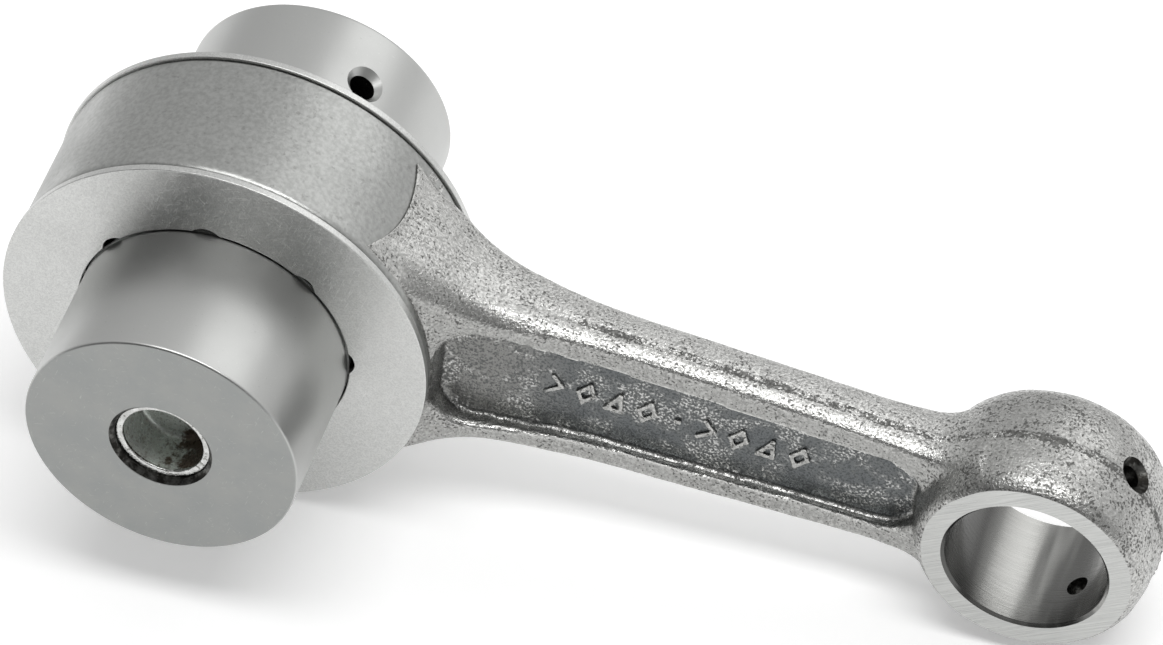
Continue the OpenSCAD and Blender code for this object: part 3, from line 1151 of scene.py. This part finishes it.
def superfine_roller():
    """Bearing steel ground to a mirror, with the faintest rings round each roller."""
    finish, tree, shader = steel("superfine roller", (0.62, 0.625, 0.62), 0.14)
    place = position(tree)
    rings = add(tree, "SeparateXYZ", place)
    lay = add(
        tree, "TexNoise", W=calc(tree, "MULTIPLY", rings.outputs[1], 8.0), noise_dimensions="1D",
        Scale=1.0, Detail=3.0, Roughness=0.6,
    )
    tree.links.new(ease(tree, lay.outputs[0], 0.3, 0.7, 0.1, 0.18), shader.inputs["Roughness"])
    relief(tree, shader, lay.outputs[0], 0.003)
    return finish


roller_finish = superfine_roller()
for name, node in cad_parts.items():
    if name == "roller_cage":
        node.material_slots[0].material = blackened_cage()
    elif name.startswith("roller_"):
        node.material_slots[0].material = roller_finish


# ---------------------------------------------------------------- studio
# A pale floor that the washers and the eye rest on, a large soft box overhead and another
# behind the right shoulder, and a dim room in front, so that curved steel shows contrast.
slope = math.asin((washer_radius - rod_high.x) / (centre_distance * MM))
floor_bm = bmesh.new()
bmesh.ops.create_grid(floor_bm, x_segments=1, y_segments=1, size=4)
bmesh.ops.rotate(
    floor_bm, verts=floor_bm.verts, cent=(0, 0, 0), matrix=Quaternion((0, 1, 0), -slope).to_matrix(),
)
up = Vector((-math.sin(slope), 0, math.cos(slope)))
bmesh.ops.translate(floor_bm, verts=floor_bm.verts, vec=-up * rod_high.x)
floor = as_object("floor", floor_bm)
paper = bpy.data.materials.new("white paper")
paper.use_nodes = True
paper_shader = paper.node_tree.nodes["Principled BSDF"]
paper_shader.inputs["Base Color"].default_value = (0.9, 0.9, 0.9, 1)
paper_shader.inputs["Roughness"].default_value = 0.9
paper_shader.inputs["Specular IOR Level"].default_value = 0.1
paper_shader.inputs["Emission Color"].default_value = (1, 1, 1, 1)
paper_shader.inputs["Emission Strength"].default_value = 0.28
floor.data.materials.append(paper)
floor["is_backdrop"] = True

world = bpy.data.worlds.new("studio")
bpy.context.scene.world = world
world.use_nodes = True
room = world.node_tree
backdrop = room.nodes["Background"]
heading = add(room, "SeparateXYZ", add(room, "TexCoord").outputs["Generated"])
behind = ease(room, heading.outputs[1], -0.55, 0.45, 0.06, 0.62)
overhead = ease(room, heading.outputs[2], 0.1, 0.9, 0.0, 0.15)
right = ease(room, heading.outputs[0], 0.25, 0.85, 0.0, 0.22)
glow = calc(room, "ADD", calc(room, "ADD", behind, overhead), right)
seen = calc(room, "MULTIPLY", add(room, "LightPath").outputs["Is Camera Ray"], 0.95)
pale = calc(room, "MAXIMUM", glow, seen)
room.links.new(pale, backdrop.inputs["Strength"])
backdrop.inputs["Color"].default_value = (1, 1, 1, 1)


def soft_box(name, azimuth, elevation, distance, width, height, power):
    """A soft box that faces the middle of the object; azimuth 0 is behind it."""
    lamp = bpy.data.lights.new(name, "AREA")
    lamp.shape = "RECTANGLE"
    lamp.size, lamp.size_y = width, height
    lamp.energy = power
    box = bpy.data.objects.new(name, lamp)
    a, e = math.radians(azimuth), math.radians(elevation)
    out = Vector((math.sin(a) * math.cos(e), math.cos(a) * math.cos(e), math.sin(e)))
    box.rotation_mode = "QUATERNION"
    box.location = Vector((-0.06, 0, 0)) + out * distance
    box.rotation_quaternion = (-out).to_track_quat("-Z", "Y")
    bpy.context.scene.collection.objects.link(box)


soft_box("overhead", 180, 80, 0.9, 0.8, 0.3, 4.5)
soft_box("right shoulder", 27, 44, 1.0, 0.65, 0.65, 1.15)

camera_data = bpy.data.cameras.new("camera")
camera_data.sensor_width = 36
camera_data.lens = 190.2
camera_data.clip_start, camera_data.clip_end = 0.05, 20
camera = bpy.data.objects.new("camera", camera_data)
aim = Vector((-0.0623, 0.0, 0.0101))
azimuth, elevation, roll = math.radians(9.66), math.radians(47.42), math.radians(9.6)
back = Vector((
    math.sin(azimuth) * math.cos(elevation), -math.cos(azimuth) * math.cos(elevation),
    math.sin(elevation),
))
camera.rotation_mode = "QUATERNION"
camera.location = aim + back * 0.7761
camera.rotation_quaternion = (-back).to_track_quat("-Z", "Y") @ Quaternion((0, 0, 1), roll)
bpy.context.scene.collection.objects.link(camera)
bpy.context.scene.camera = camera
bpy.context.scene.view_settings.view_transform = "Standard"

low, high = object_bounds()
